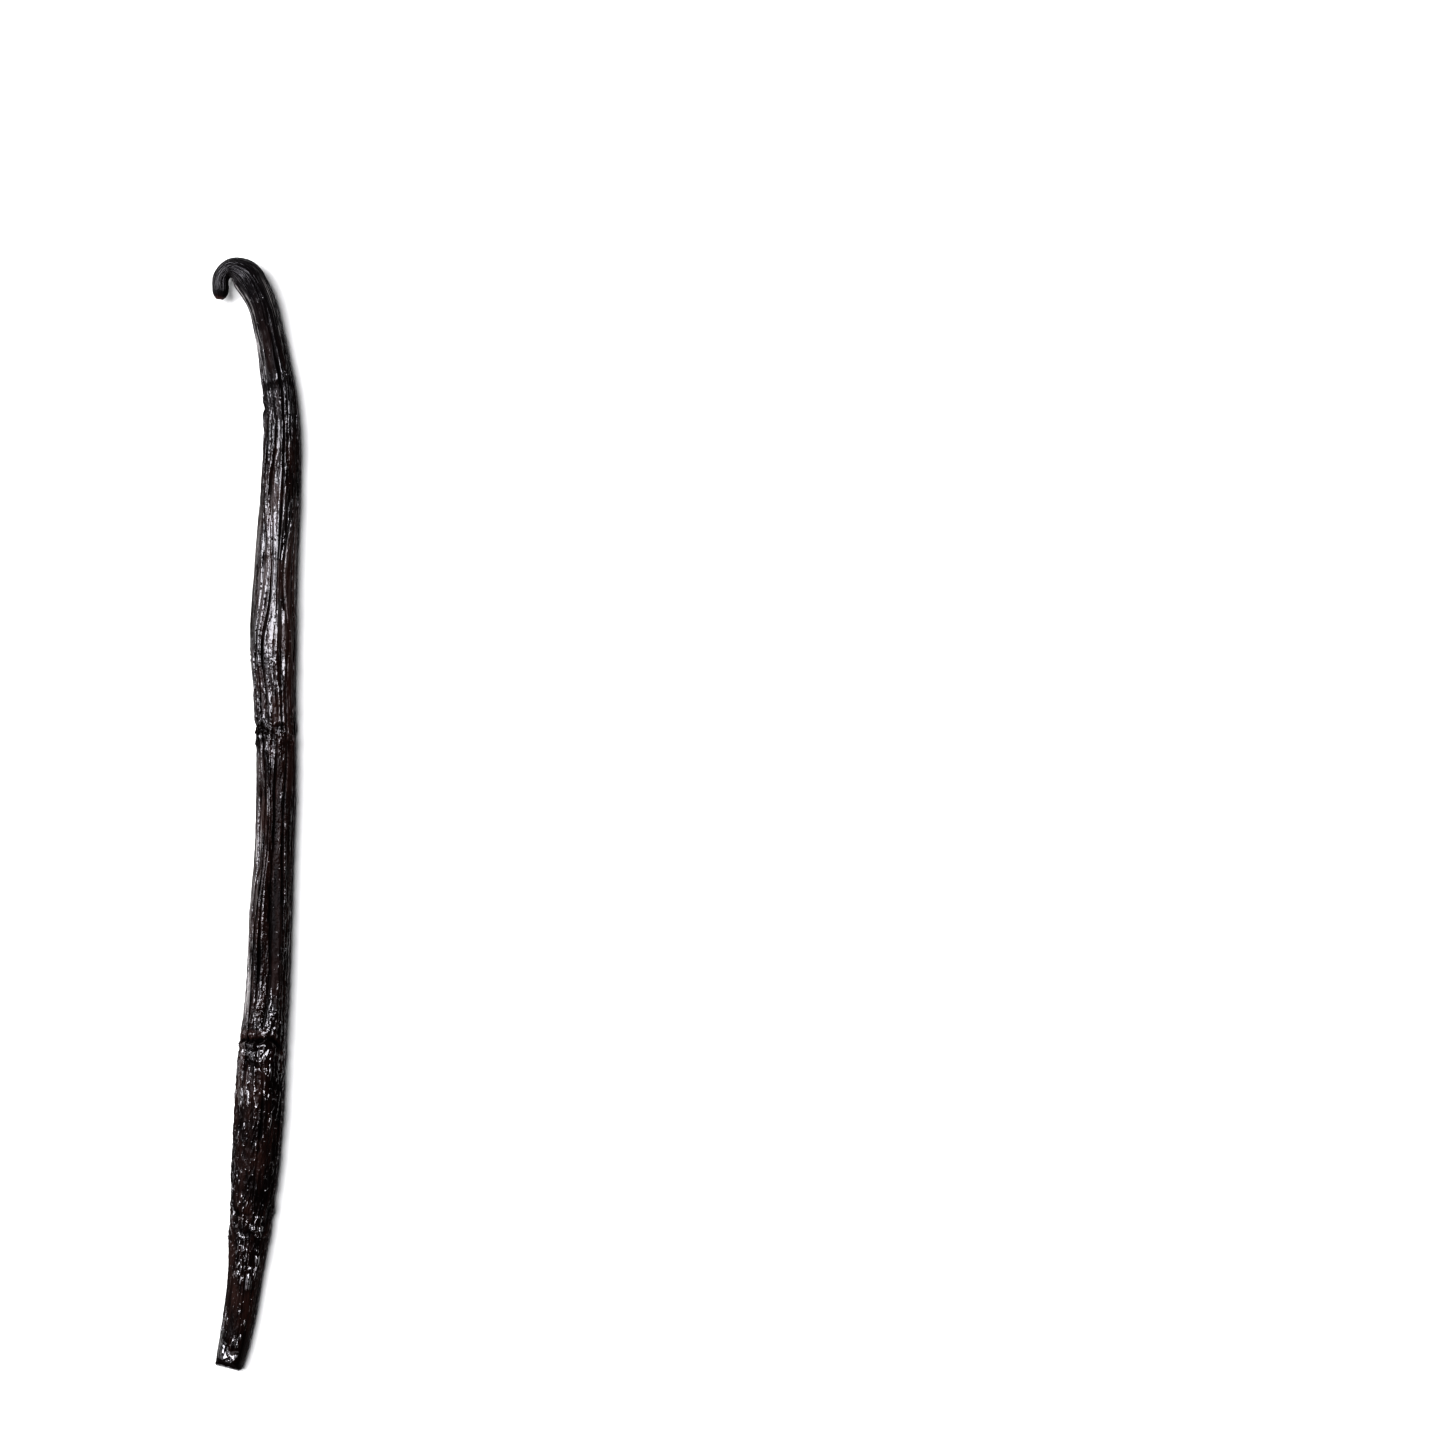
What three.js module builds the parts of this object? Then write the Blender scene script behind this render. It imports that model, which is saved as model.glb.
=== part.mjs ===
// A cured vanilla pod lying on its flatter side. It is a soft, flattened tube, furrowed from end to end,
// that is cut square at the blossom end and tapers to a neck that curls over in a hook at the stalk end.
// Millimetres, +Z up. The pod runs along +Y to the hook, and +X is on the right seen from above.

import * as THREE from 'three';

// Stations down the middle of the pod, from the blossom end to the tip of the stalk:
// x and y of the centreline, the width and height of the section, the gap left under it,
// and how rough it is, from 0 where it is smooth to 1 where its furrows are at their deepest.
const stations = [
  [-4.56, -86.98, 4.4, 3.5, 0, 0.5],
  [-3.76, -83.48, 4.7, 3.9, 0, 0.4],
  [-2.88, -78.98, 5.05, 3.95, 0, 0.3],
  [-2.01, -72.98, 5.3, 4.15, 0, 0.35],
  [-1.19, -65.48, 6.25, 4.7, 0, 0.4],
  [-0.38, -56.08, 7.2, 5.2, 0, 0.45],
  [0.29, -47.08, 7.6, 5.4, 0, 0.5],
  [0.76, -38.48, 7.3, 5.3, 0, 0.6],
  [1.58, -27.98, 6.75, 4.95, 0, 0.8],
  [2.05, -16.98, 6.6, 4.85, 0, 1],
  [2.72, -5.48, 5.95, 4.65, 0, 0.9],
  [3.03, 7.07, 5.95, 4.6, 0, 0.95],
  [2.74, 19.32, 6.45, 4.8, 0, 1],
  [2.54, 28.72, 7.0, 5.0, 0, 0.8],
  [2.88, 38.12, 6.65, 4.9, 0, 0.6],
  [3.52, 49.42, 6.2, 4.7, 0, 0.75],
  [3.90, 58.92, 5.7, 4.5, 0, 0.95],
  [3.62, 65.92, 5.2, 4.3, 0.05, 0.8],
  [2.64, 72.12, 4.75, 4.15, 0.35, 0.6],
  [1.88, 76.12, 4.5, 4.1, 0.7, 0.5],
  [0.79, 80.42, 4.5, 4.1, 1.2, 0.4],
  [-1.23, 84.19, 4.95, 4.0, 1.7, 0.3],
  [-2.99, 85.54, 3.85, 3.45, 2.1, 0.25],
  [-4.49, 85.48, 2.7, 2.75, 2.5, 0.25],
  [-5.48, 84.18, 2.45, 2.45, 2.7, 0.25],
  [-5.51, 82.24, 2.5, 2.3, 2.8, 0.3],
  [-5.67, 80.92, 2.2, 2.1, 2.85, 0.3],
];

// Skin relief.
const furrowCount = 28; // furrows round a section, with a ridge between each two
const furrowDepth = 0.5; // of the deepest furrow
const minorShare = 0.2; // every other furrow is only this share as deep
const ridgeLow = -0.1; // the lowest and the highest ridge, in shares of the furrow depth
const ridgeHigh = 0.25;
const furrowLeast = 0.15; // what is left of a furrow where it is shallowest
const furrowRun = 13; // how far a furrow or ridge keeps its depth before it changes
const furrowDrift = 0.55; // how far a furrow is off its even place, in shares of the pitch
const meander = 0.11; // how far all the furrows wander sideways, in radians
const meanderRun = 21; // over what length they wander
const bulge = 0.096; // of the three blunt edges that the pod keeps from its three seed chambers
const ovalShare = 0.6; // how far the section is also drawn to an oval, as a share of that
const bulgeRun = 34; // over what length those edges turn
const settle = 0.26; // how far the soft underside has flattened against what it lies on

// Creases across the pod: how far they are from the blossom end, the angle round the section where they
// are deepest (0 on the right, 90 on top), how many degrees round it they reach, and their depth (minus
// for a raised fold), half width and slant.
const creases = [
  { at: 2.9, angle: 110, reach: 130, depth: 0.22, half: 0.45, slant: 0.7 },
  { at: 22.6, angle: 60, reach: 170, depth: 0.26, half: 0.45, slant: -0.9 },
  { at: 25.4, angle: 130, reach: 150, depth: 0.24, half: 0.45, slant: 0.8 },
  { at: 47.7, angle: 70, reach: 150, depth: 0.16, half: 0.45, slant: 0.9 },
  { at: 49.6, angle: 112, reach: 130, depth: 0.2, half: 0.35, slant: 0.3 },
  { at: 50.4, angle: 112, reach: 120, depth: -0.24, half: 0.5, slant: -0.3 },
  { at: 51.3, angle: 118, reach: 260, depth: 0.5, half: 0.6, slant: -0.3 },
  { at: 101.3, angle: 150, reach: 150, depth: 0.5, half: 0.6, slant: 0.9 },
  { at: 102.1, angle: 60, reach: 120, depth: 0.16, half: 0.4, slant: -0.6 },
  { at: 112.5, angle: 165, reach: 100, depth: 0.24, half: 0.45, slant: 0.6 },
  { at: 127.9, angle: 100, reach: 80, depth: 0.14, half: 0.4, slant: 0.5 },
  { at: 151.2, angle: 185, reach: 110, depth: 0.42, half: 1, slant: 0.4 },
  { at: 155.1, angle: 90, reach: 170, depth: 0.2, half: 0.4, slant: 0.2 },
];
const valleyPower = 1.2; // how sharp the bottom of a crease is
const creaseLip = 0.2; // how high the skin folds up beside a crease, in shares of its depth
const lipPlace = 1.9; // where that lip is highest, in half widths from the middle of the crease
const lipSpread = 0.6;
const creasePatches = 7; // a crease is deeper and shallower by turns round the section
const patchMiddle = 0.7; // by this share of its depth and this much more or less
const patchReach = 0.3;
const patchShift = 3.5; // sets those patches apart from the jags
const creaseJags = 11; // turns to and fro that a crease makes round the section
const creaseJag = 0.4; // and how far they take it along the pod
const slantRun = 5; // how far from a crease its slant dies away

// Crumpled stretches: from where to where, and how deep.
const crumples = [
  { from: 19, to: 30, depth: 0.2 },
  { from: 44, to: 52.5, depth: 0.16 },
  { from: 97, to: 103.5, depth: 0.16 },
];
const crumpleRound = 17; // dents round a section
const crumplePitch = 1.5; // dents along the pod
const crumpleFade = 1.5; // how far in from its ends a crumpled stretch is at its full depth

// Long keels and hollows: their middle, their half length, the angle they lie at, how many degrees
// they are wide to each side, and how far they stand out (minus for a hollow).
const keels = [
  { at: 84, half: 13, angle: 108, spread: 10, height: 0.42 },
  { at: 85, half: 9, angle: 138, spread: 16, height: -0.5 },
  { at: 64, half: 15, angle: 88, spread: 13, height: -0.3 },
  { at: 68, half: 19, angle: 55, spread: 12, height: 0.24 },
  { at: 133, half: 16, angle: 78, spread: 14, height: 0.26 },
  { at: 139, half: 20, angle: 112, spread: 11, height: -0.28 },
  { at: 118, half: 12, angle: 62, spread: 9, height: -0.3 },
  { at: 40, half: 14, angle: 40, spread: 12, height: -0.32 },
];

// Places where the skin is pressed flat: the angle that the flat faces, then pairs that say how far from
// the blossom end and how far in from the full section it is (minus where it stays clear of the skin).
const presses = [
  {
    angle: 96,
    depths: [
      [0, 1.1],
      [0.6, 0.6],
      [1.35, 0.03],
      [3.4, 0.5],
      [4.3, 0.3],
      [6.5, -0.6],
    ],
  },
];

// Ends. Each pair says how far in from the end a section is and how large it is there.
const blossomRim = [
  [0, 0.84],
  [0.12, 0.95],
  [0.3, 0.98],
  [0.6, 0.96],
  [1, 0.97],
  [2, 1],
];
const blossomDish = 0.45; // how deep the scar is in the blossom end
const stalkRim = [
  [0, 0.48],
  [0.3, 0.78],
  [0.75, 0.94],
  [1.3, 1],
];
const stalkDish = 0.12;

const endFade = 4; // furrows and creases die away over this length towards the ends

// How close the sections stand: at most this far apart, and closer where the pod bends or is crumpled.
const ringStep = 3.15;
const ringsPerRadian = 8;
const crumpleStep = 1;
const leastStep = 0.12;
const routeSteps = 1200; // samples that measure the length of the centreline
const creaseRings = [-1.7, 0, 1.7]; // sections across a crease, in half widths from its middle

// Rows of random numbers. Each use has a row of its own, and furrow number n has row n.
const ridgeRow = 60;
const columnRow = 77;
const edgeRow = 301;
const ovalRow = 302;
const wanderRow = 303;
const windRow = 304;
const dentRow = 400;

const columns = furrowCount * 2; // every other column of points lies in a furrow
const degrees = Math.PI / 180;
const fullTurn = Math.PI * 2;

// A number from 0 to 1 that depends only on two whole numbers.
function hash(a, b) {
  let h = Math.imul(a, 374761393) ^ Math.imul(b, 668265263);
  h = Math.imul(h ^ (h >>> 13), 1274126177);
  return ((h ^ (h >>> 16)) >>> 0) / 4294967296;
}

function smooth(x) {
  const f = Math.min(Math.max(x, 0), 1);
  return f * f * (3 - 2 * f);
}

function mix(a, b, f) {
  return a + (b - a) * f;
}

// A smooth random run of values from 0 to 1, a new one for each row.
function run(row, x) {
  const cell = Math.floor(x);
  return mix(hash(row, cell), hash(row, cell + 1), smooth(x - cell));
}

// Smooth random dents on the unrolled skin, which close up after a full turn.
function dents(u, v, round) {
  const cell = Math.floor(u);
  const row = dentRow + (((cell % round) + round) % round);
  const next = dentRow + ((((cell + 1) % round) + round) % round);
  return mix(run(row, v), run(next, v), smooth(u - cell)) * 2 - 1;
}

// How far apart two angles are, the short way round.
function apart(a, b) {
  const d = Math.abs(a - b) % fullTurn;
  return Math.min(d, fullTurn - d);
}

// The centreline and the sizes of the section are smooth curves through the stations.
const route = new THREE.CatmullRomCurve3(
  stations.map(([x, y]) => new THREE.Vector3(x, y, 0)), false, 'catmullrom', 0.5);
const girth = new THREE.CatmullRomCurve3(
  stations.map(([, , wide, tall, lift]) => new THREE.Vector3(wide, tall, lift)), false, 'catmullrom', 0.5);
const skin = new THREE.CatmullRomCurve3(
  stations.map((station) => new THREE.Vector3(station[5], 0, 0)), false, 'catmullrom', 0.5);

const samples = route.getPoints(routeSteps);
const lengths = [0];
for (let i = 1; i <= routeSteps; i += 1) {
  lengths.push(lengths[i - 1] + samples[i].distanceTo(samples[i - 1]));
}
const podLength = lengths[routeSteps];

// The curve's own parameter at a distance from the blossom end.
function parameterAt(distance) {
  const wanted = Math.min(Math.max(distance, 0), podLength);
  let low = 0;
  let high = routeSteps;
  while (high - low > 1) {
    const middle = (low + high) >> 1;
    if (lengths[middle] <= wanted) {
      low = middle;
    } else {
      high = middle;
    }
  }
  return (low + (wanted - lengths[low]) / (lengths[high] - lengths[low])) / routeSteps;
}

// The value at a place on a line of straight pieces, given by pairs of place and value.
function alongPairs(pairs, place) {
  for (let i = 1; i < pairs.length; i += 1) {
    const [start, first] = pairs[i - 1];
    const [end, second] = pairs[i];
    if (place < end) {
      return mix(first, second, Math.max(place - start, 0) / (end - start));
    }
  }
  return pairs[pairs.length - 1][1];
}

// The three blunt edges of the pod, which turn slowly along it.
function bulgeOffset(distance, angle) {
  const phase = fullTurn * run(edgeRow, distance / bulgeRun);
  const pair = fullTurn * run(ovalRow, distance / bulgeRun);
  return bulge * (Math.cos(3 * angle + phase) + ovalShare * Math.cos(2 * angle + pair));
}

// Furrows lie on the even columns and ridges on the odd ones.
function furrowOffset(distance, column) {
  const line = Math.floor(column / 2);
  const along = distance / furrowRun;
  if (column % 2 === 0) {
    const share = line % 2 === 0 ? 1 : minorShare;
    return -furrowDepth * share * mix(furrowLeast, 1, run(line, along) ** 2);
  }
  return furrowDepth * mix(ridgeLow, ridgeHigh, run(line + ridgeRow, along));
}

function creaseOffset(distance, angle) {
  let offset = 0;
  for (const { at, angle: middle, reach, depth, half } of creases) {
    const away = Math.abs(distance - at) / half;
    const window = smooth(2 * (1 - apart(angle, middle * degrees) / (0.5 * reach * degrees)));
    const patch = dents((angle / fullTurn) * creasePatches, at + patchShift, creasePatches);
    const valley = Math.max(0, 1 - away) ** valleyPower;
    const lip = creaseLip * Math.exp(-((away - lipPlace) ** 2) / lipSpread);
    offset += depth * window * (patchMiddle + patchReach * patch) * (lip - valley);
  }
  return offset;
}

function crumpleOffset(distance, angle) {
  let offset = 0;
  for (const { from, to, depth } of crumples) {
    const window = smooth((distance - from) / crumpleFade) * smooth((to - distance) / crumpleFade);
    if (window > 0) {
      const round = (angle / fullTurn) * crumpleRound;
      offset += depth * window * dents(round, distance / crumplePitch, crumpleRound);
    }
  }
  return offset;
}

function keelOffset(distance, angle) {
  let offset = 0;
  for (const { at, half, angle: middle, spread, height } of keels) {
    const window = smooth(2 * (1 - Math.abs(distance - at) / half));
    const side = apart(angle, middle * degrees) / (spread * degrees);
    offset += height * window * Math.exp(-side * side);
  }
  return offset;
}

// The slant and the jags of the creases carry the skin beside them along.
function slantShift(distance, angle) {
  let shift = 0;
  for (const { at, angle: middle, slant } of creases) {
    const near = (distance - at) / slantRun;
    const jag = creaseJag * dents((angle / fullTurn) * creaseJags, at, creaseJags);
    shift += Math.exp(-near * near) * (slant * Math.sin(angle - middle * degrees) + jag);
  }
  return shift;
}

// The angle of a column of points at a distance along the pod.
function columnAngle(distance, column) {
  const uneven = (hash(column, columnRow) - 0.5) * furrowDrift;
  const even = (fullTurn * (column + uneven)) / columns;
  const wander = Math.sin(even * 2 + fullTurn * run(wanderRow, distance / meanderRun))
    + Math.sin(even * 3 + fullTurn * run(windRow, distance / meanderRun));
  return even + meander * wander;
}

// How far a point of a section lies beyond each flat that is pressed into it, moved back onto the flat.
function pressed(distance, halfWide, halfTall, section) {
  for (const { angle, depths } of presses) {
    const facing = new THREE.Vector2(Math.cos(angle * degrees), Math.sin(angle * degrees));
    const limit = Math.hypot(halfWide * facing.x, halfTall * facing.y) - alongPairs(depths, distance);
    section.addScaledVector(facing, -Math.max(section.dot(facing) - limit, 0));
  }
  return section;
}

// A point of the skin: a flattened section, its relief along the section's own normal, and its
// underside settled flat on the ground.
function skinPoint(distance, column, scale) {
  const angle = columnAngle(distance, column);
  const place = Math.min(Math.max(distance + slantShift(distance, angle), 0), podLength);
  const nearEnd = smooth(Math.min(distance, podLength - distance) / endFade);
  const t = parameterAt(mix(distance, place, nearEnd));
  const centre = route.getPoint(t);
  const forward = route.getTangent(t);
  const size = girth.getPoint(t);
  const roughness = skin.getPoint(t).x;
  const halfWide = (size.x / 2) * scale;
  const halfTall = (size.y / 2) * scale;
  const normal = new THREE.Vector2(Math.cos(angle) / halfWide, Math.sin(angle) / halfTall).normalize();
  const relief = furrowOffset(distance, column) * roughness + crumpleOffset(distance, angle)
    + creaseOffset(distance, angle);
  const form = (bulgeOffset(distance, angle) + keelOffset(distance, angle)) * roughness;
  const offset = (relief * nearEnd + form) * scale;
  const section = new THREE.Vector2(halfWide * Math.cos(angle), halfTall * Math.sin(angle))
    .addScaledVector(normal, offset);
  const { x: across, y: up } = pressed(distance, halfWide, halfTall, section);
  const height = size.z + size.y / 2 - settle + up;
  const x = centre.x + forward.y * across;
  const y = centre.y - forward.x * across;
  return new THREE.Vector3(x, y, Math.max(height, 0));
}

// Distances along the pod where sections stand: at the rims, flats and creases, and evenly between them.
function ringDistances() {
  const marks = new Set();
  blossomRim.forEach(([inward]) => marks.add(inward));
  stalkRim.forEach(([inward]) => marks.add(podLength - inward));
  presses.forEach(({ depths }) => depths.forEach(([distance]) => marks.add(distance)));
  for (const { at, half } of creases) {
    creaseRings.forEach((step) => marks.add(at + step * half));
  }
  const sorted = [...marks].sort((a, b) => a - b).filter((d) => d >= 0 && d <= podLength);
  const spaced = sorted.filter((d, i) => i === 0 || d - sorted[i - 1] > leastStep);
  const rings = [];
  for (let i = 0; i < spaced.length - 1; i += 1) {
    const start = spaced[i];
    const end = spaced[i + 1];
    const bend = route.getTangent(parameterAt(start)).angleTo(route.getTangent(parameterAt(end)));
    const middle = (start + end) / 2;
    const crumpled = crumples.some(({ from, to }) => middle > from && middle < to);
    const step = crumpled ? crumpleStep : ringStep;
    const count = Math.max(1, Math.round((end - start) / step), Math.ceil(bend * ringsPerRadian));
    for (let k = 0; k < count; k += 1) {
      rings.push(mix(start, end, k / count));
    }
  }
  rings.push(podLength);
  return rings;
}

function sectionScale(distance) {
  return alongPairs(blossomRim, distance) * alongPairs(stalkRim, podLength - distance);
}

// The middle of an end, set in by the depth of its scar.
function endMiddle(distance, dish) {
  const t = parameterAt(distance);
  const size = girth.getPoint(t);
  const inward = distance > 0 ? -dish : dish;
  return route.getPoint(t)
    .addScaledVector(route.getTangent(t), inward)
    .add(new THREE.Vector3(0, 0, size.z + size.y / 2 - settle));
}

function podGeometry() {
  const rings = ringDistances();
  const positions = [];
  const faces = [];
  for (const distance of rings) {
    for (let column = 0; column < columns; column += 1) {
      positions.push(...skinPoint(distance, column, sectionScale(distance)).toArray());
    }
  }
  for (let ring = 0; ring < rings.length - 1; ring += 1) {
    for (let column = 0; column < columns; column += 1) {
      const a = ring * columns + column;
      const b = ring * columns + ((column + 1) % columns);
      faces.push(a, b + columns, b, a, a + columns, b + columns);
    }
  }
  const lastRing = (rings.length - 1) * columns;
  const blossomMiddle = positions.length / 3;
  positions.push(...endMiddle(0, blossomDish).toArray());
  const stalkMiddle = blossomMiddle + 1;
  positions.push(...endMiddle(podLength, stalkDish).toArray());
  for (let column = 0; column < columns; column += 1) {
    const next = (column + 1) % columns;
    faces.push(blossomMiddle, column, next);
    faces.push(stalkMiddle, lastRing + next, lastRing + column);
  }
  const geometry = new THREE.BufferGeometry();
  geometry.setAttribute('position', new THREE.Float32BufferAttribute(positions, 3));
  geometry.setIndex(faces);
  geometry.computeVertexNormals();
  return geometry;
}

// The origin is on the ground under the middle of the pod.
function groundUnderMiddle(geometry) {
  geometry.computeBoundingBox();
  const { min, max } = geometry.boundingBox;
  geometry.translate(-(min.x + max.x) / 2, -(min.y + max.y) / 2, -min.z);
  return geometry;
}

const skinMaterial = new THREE.MeshStandardMaterial({ color: 0x241813, roughness: 0.35, metalness: 0 });

const pod = new THREE.Mesh(groundUnderMiddle(podGeometry()), skinMaterial);
pod.name = 'vanilla_pod';

const vanilla = new THREE.Group();
vanilla.add(pod);

export default vanilla;
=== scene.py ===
import math

import bpy
import numpy as np
from mathutils import Matrix, Vector


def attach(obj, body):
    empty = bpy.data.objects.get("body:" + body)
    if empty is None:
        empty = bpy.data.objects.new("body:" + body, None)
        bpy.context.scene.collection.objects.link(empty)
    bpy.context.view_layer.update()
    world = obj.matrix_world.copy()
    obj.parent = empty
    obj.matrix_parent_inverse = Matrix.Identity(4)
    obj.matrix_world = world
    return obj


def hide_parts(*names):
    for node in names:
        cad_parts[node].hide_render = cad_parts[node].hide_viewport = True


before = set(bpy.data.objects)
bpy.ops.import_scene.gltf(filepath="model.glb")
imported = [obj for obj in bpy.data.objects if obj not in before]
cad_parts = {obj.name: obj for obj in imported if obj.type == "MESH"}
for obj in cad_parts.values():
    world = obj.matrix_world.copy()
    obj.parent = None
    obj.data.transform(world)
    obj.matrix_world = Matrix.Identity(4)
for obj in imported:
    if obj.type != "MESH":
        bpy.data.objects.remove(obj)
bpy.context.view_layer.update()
print("frame loaded")

mm = 0.001
fullTurn = 2 * math.pi

cameraSettings = {
    "imagePixels": 1445,
    "pixel": 0.157 * mm,        # what one pixel covers on the plane of the pod's flanks
    "podOrigin": (256.45, 815.07),  # pixel under which the pod's own origin lies
    "flankHeight": 2.5 * mm,
    "lens": 100.0,
    "sensor": 36.0,
}


def makeCamera(s):
    data = bpy.data.cameras.new("lookDown")
    data.lens = s["lens"]
    data.sensor_width = s["sensor"]
    covered = s["imagePixels"] * s["pixel"]
    distance = covered * s["lens"] / s["sensor"]
    middle = s["imagePixels"] / 2
    camera = bpy.data.objects.new("lookDown", data)
    camera.location = ((middle - s["podOrigin"][0]) * s["pixel"],
                       (s["podOrigin"][1] - middle) * s["pixel"],
                       s["flankHeight"] + distance)
    bpy.context.scene.collection.objects.link(camera)
    bpy.context.scene.camera = camera
    return camera


makeCamera(cameraSettings)
print("camera made")

# The pod's form, in millimetres and degrees. Its solid is made from the same sizes.
podForm = {
    # x, y, width, height, gap under it, roughness; from the blossom end to the stalk tip
    "stations": [
        (-4.56, -86.98, 4.4, 3.5, 0, 0.5),
        (-3.76, -83.48, 4.7, 3.9, 0, 0.4),
        (-2.88, -78.98, 5.05, 3.95, 0, 0.3),
        (-2.01, -72.98, 5.3, 4.15, 0, 0.35),
        (-1.19, -65.48, 6.25, 4.7, 0, 0.4),
        (-0.38, -56.08, 7.2, 5.2, 0, 0.45),
        (0.29, -47.08, 7.6, 5.4, 0, 0.5),
        (0.76, -38.48, 7.3, 5.3, 0, 0.6),
        (1.58, -27.98, 6.75, 4.95, 0, 0.8),
        (2.05, -16.98, 6.6, 4.85, 0, 1),
        (2.72, -5.48, 5.95, 4.65, 0, 0.9),
        (3.03, 7.07, 5.95, 4.6, 0, 0.95),
        (2.74, 19.32, 6.45, 4.8, 0, 1),
        (2.54, 28.72, 7.0, 5.0, 0, 0.8),
        (2.88, 38.12, 6.65, 4.9, 0, 0.6),
        (3.52, 49.42, 6.2, 4.7, 0, 0.75),
        (3.90, 58.92, 5.7, 4.5, 0, 0.95),
        (3.62, 65.92, 5.2, 4.3, 0.05, 0.8),
        (2.64, 72.12, 4.75, 4.15, 0.35, 0.6),
        (1.88, 76.12, 4.5, 4.1, 0.7, 0.5),
        (0.79, 80.42, 4.5, 4.1, 1.2, 0.4),
        (-1.23, 84.19, 4.95, 4.0, 1.7, 0.3),
        (-2.99, 85.54, 3.85, 3.45, 2.1, 0.25),
        (-4.49, 85.48, 2.7, 2.75, 2.5, 0.25),
        (-5.48, 84.18, 2.45, 2.45, 2.7, 0.25),
        (-5.51, 82.24, 2.5, 2.3, 2.8, 0.3),
        (-5.67, 80.92, 2.2, 2.1, 2.85, 0.3),
    ],
    "furrowCount": 28,
    "furrowDepth": 0.5,
    "minorShare": 0.2,       # depth of every other furrow
    "furrowLeast": 0.15,     # share of its depth that a furrow always has
    "furrowRun": 13,         # length over which its depth changes
    "furrowDrift": 0.55,     # how unevenly the furrows are spaced
    "ridgeHeight": 0.35,     # share of the furrow depth
    "ridgeSink": 0.1,
    "meander": 0.11,
    "meanderRun": 21,
    "bulge": 0.096,
    "ovalShare": 0.6,
    "bulgeRun": 34,
    "settle": 0.26,          # how far it sinks into its flat underside
    "endFade": 4,            # from each end, where furrows and folds begin
    # distance from the blossom end, angle where deepest, degrees reached, depth, half width, slant
    "creases": [
        (2.9, 110, 130, 0.22, 0.45, 0.7),
        (22.6, 60, 170, 0.26, 0.45, -0.9),
        (25.4, 130, 150, 0.24, 0.45, 0.8),
        (47.7, 70, 150, 0.16, 0.45, 0.9),
        (49.6, 112, 130, 0.2, 0.35, 0.3),
        (50.4, 112, 120, -0.24, 0.5, -0.3),
        (51.3, 118, 260, 0.5, 0.6, -0.3),
        (101.3, 150, 150, 0.5, 0.6, 0.9),
        (102.1, 60, 120, 0.16, 0.4, -0.6),
        (112.5, 165, 100, 0.24, 0.45, 0.6),
        (127.9, 100, 80, 0.14, 0.4, 0.5),
        (151.2, 185, 110, 0.42, 1.0, 0.4),
        (155.1, 90, 170, 0.2, 0.4, 0.2),
    ],
    "creaseSteep": 1.2,
    "creaseUneven": 0.3,     # share of its depth that comes and goes round the pod
    "creaseDents": 7,
    "creaseLip": 0.2,
    "lipPlace": 1.9,         # in half widths of the crease, as is the next
    "lipSpread": 0.6,
    "jag": 0.4,
    "jagDents": 11,
    "slantRun": 5,
    "foldRun": 2.6,          # how far beside a crease the skin is crumpled
    "foldEdge": 2.4,
    "foldGain": 2.2,
    # from, to, depth
    "crumples": [(19, 30, 0.2), (44, 52.5, 0.16), (97, 103.5, 0.16)],
    "crumpleRound": 17,
    "crumplePitch": 1.5,
    "crumpleFade": 1.5,
    # middle, half length, angle, degrees to each side, height
    "keels": [
        (84, 13, 108, 10, 0.42),
        (85, 9, 138, 16, -0.5),
        (64, 15, 88, 13, -0.3),
        (68, 19, 55, 12, 0.24),
        (133, 16, 78, 14, 0.26),
        (139, 20, 112, 11, -0.28),
        (118, 12, 62, 9, -0.3),
        (40, 14, 40, 12, -0.32),
    ],
    # angle, then distance and how far the skin is pressed flat there
    "presses": [
        (96, [(0, 1.1), (0.6, 0.6), (1.35, 0.03), (3.4, 0.5), (4.3, 0.3), (6.5, -0.6)]),
    ],
    "pressFade": 0.15,       # over this depth the furrows are pressed out of the skin
    # how far in from the end, size there
    "blossomRim": [(0, 0.84), (0.12, 0.95), (0.3, 0.98), (0.6, 0.96), (1, 0.97), (2, 1)],
    "blossomDish": 0.45,
    "stalkRim": [(0, 0.48), (0.3, 0.78), (0.75, 0.94), (1.3, 1)],
    "stalkDish": 0.12,
    "bankShare": 0.35,       # a placed groove has a low bank on each side
    "bankPlace": 2,
    "meanRadius": 2.9,
    "straightRadii": (3.1, 2.6),  # of the straightened pod that patterns are laid on
    "routeSteps": 1200,
}

# which row of random values each thing draws from; a furrow's row is its own number
randomRow = {
    "ridge": 60,
    "drift": 77,
    "bulge": 301,
    "oval": 302,
    "meanderTwo": 303,
    "meanderThree": 304,
    "dent": 400,
}


def smooth(x):
    f = np.clip(x, 0, 1)
    return f * f * (3 - 2 * f)


def mix(a, b, f):
    return a + (b - a) * f


def fadeOut(share, steep=2):  # 1 near the middle, 0 from a share of 1 outwards
    return smooth(steep * (1 - share))


def hashed(a, b):  # from 0 to 1, the same for the same two whole numbers
    primes = [np.uint32(v) for v in (374761393, 668265263, 1274126177)]
    a = np.asarray(a, np.int64).astype(np.uint32)
    b = np.asarray(b, np.int64).astype(np.uint32)
    h = (a * primes[0]) ^ (b * primes[1])
    h = (h ^ (h >> np.uint32(13))) * primes[2]
    return (h ^ (h >> np.uint32(16))) / 2.0**32


def run(row, x):  # a smooth random run of values from 0 to 1, a new one for each row
    cell = np.floor(x)
    return mix(hashed(row, cell), hashed(row, cell + 1), smooth(x - cell))


def dents(u, v, around):  # smooth random dents that close up after a full turn
    cell = np.floor(u)
    row = np.mod(cell, around) + randomRow["dent"]
    following = np.mod(cell + 1, around) + randomRow["dent"]
    return mix(run(row, v), run(following, v), smooth(u - cell)) * 2 - 1


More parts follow.
